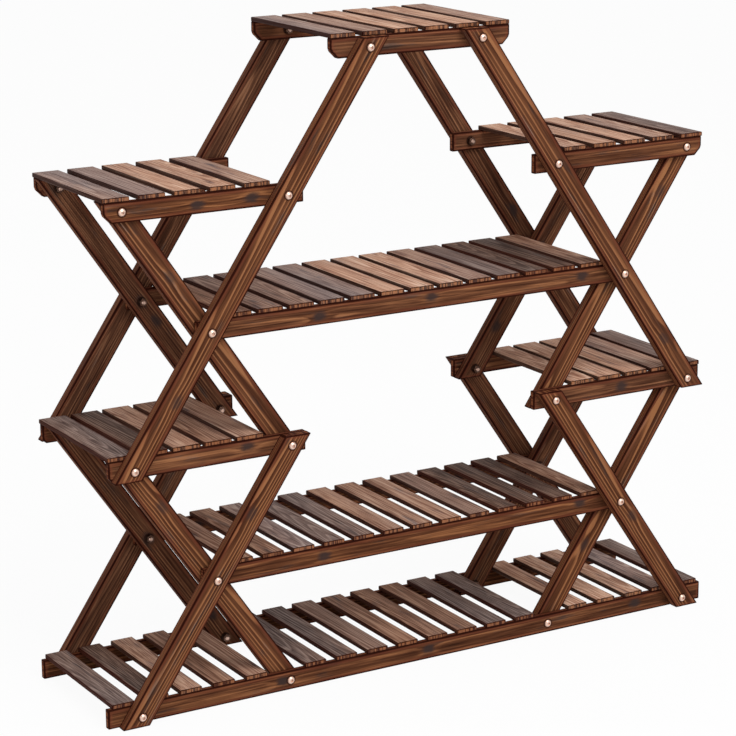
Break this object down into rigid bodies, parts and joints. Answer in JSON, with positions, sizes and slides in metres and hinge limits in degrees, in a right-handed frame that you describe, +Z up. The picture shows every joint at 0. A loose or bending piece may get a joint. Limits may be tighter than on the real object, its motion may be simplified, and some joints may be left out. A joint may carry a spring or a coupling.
{
  "type": "plant stand",
  "caption": "Free-standing slatted plant stand of scorched softwood: two bolted frames of crossed leaning legs carry stepped side shelves, long centre shelves and one top shelf.",
  "frame": {"origin": "on the floor under the middle of the stand", "axes": "+X along the shelves to the right of the front, +Y from front to rear, +Z up"},
  "size_m": [0.972, 0.2562, 0.892],
  "materials": {
    "leg_wood": "scorched softwood, brushed, satin clear oil, dark burnt edges",
    "rail_wood": "scorched softwood, brushed, satin clear oil, dark burnt edges",
    "slat_wood": "scorched softwood, brushed, some slats pale and some nearly charred, satin oil",
    "bolt_metal": "copper-toned plating, satin",
    "nut_metal": "copper-toned plating, dull",
    "brad_steel": "bright wire"
  },
  "bodies": {
    "root": {"front_left_long_leg": "leg_wood", "front_left_upper_cross_leg": "leg_wood", "front_left_lower_leg": "leg_wood", "front_left_lower_cross_leg": "leg_wood", "front_right_long_leg": "leg_wood", "front_right_upper_cross_leg": "leg_wood", "front_right_lower_leg": "leg_wood", "front_right_lower_cross_leg": "leg_wood", "front_top_rail": "rail_wood", "front_upper_left_rail": "rail_wood", "front_upper_right_rail": "rail_wood", "front_upper_centre_rail": "rail_wood", "front_middle_left_rail": "rail_wood", "front_middle_right_rail": "rail_wood", "front_lower_centre_rail": "rail_wood", "front_bottom_rail": "rail_wood", "rear_left_long_leg": "leg_wood", "rear_left_upper_cross_leg": "leg_wood", "rear_left_lower_leg": "leg_wood", "rear_left_lower_cross_leg": "leg_wood", "rear_right_long_leg": "leg_wood", "rear_right_upper_cross_leg": "leg_wood", "rear_right_lower_leg": "leg_wood", "rear_right_lower_cross_leg": "leg_wood", "rear_top_rail": "rail_wood", "rear_upper_left_rail": "rail_wood", "rear_upper_right_rail": "rail_wood", "rear_upper_centre_rail": "rail_wood", "rear_middle_left_rail": "rail_wood", "rear_middle_right_rail": "rail_wood", "rear_lower_centre_rail": "rail_wood", "rear_bottom_rail": "rail_wood", "top_slats": "slat_wood", "upper_left_slats": "slat_wood", "upper_right_slats": "slat_wood", "upper_centre_slats": "slat_wood", "middle_left_slats": "slat_wood", "middle_right_slats": "slat_wood", "lower_centre_slats": "slat_wood", "bottom_left_slats": "slat_wood", "bottom_centre_slats": "slat_wood", "bottom_right_slats": "slat_wood", "front_short_bolts": "bolt_metal", "front_long_bolts": "bolt_metal", "front_washers": "nut_metal", "front_nuts": "nut_metal", "front_brads": "brad_steel", "rear_short_bolts": "bolt_metal", "rear_long_bolts": "bolt_metal", "rear_washers": "nut_metal", "rear_nuts": "nut_metal", "rear_brads": "brad_steel"}
  },
  "joints": []
}
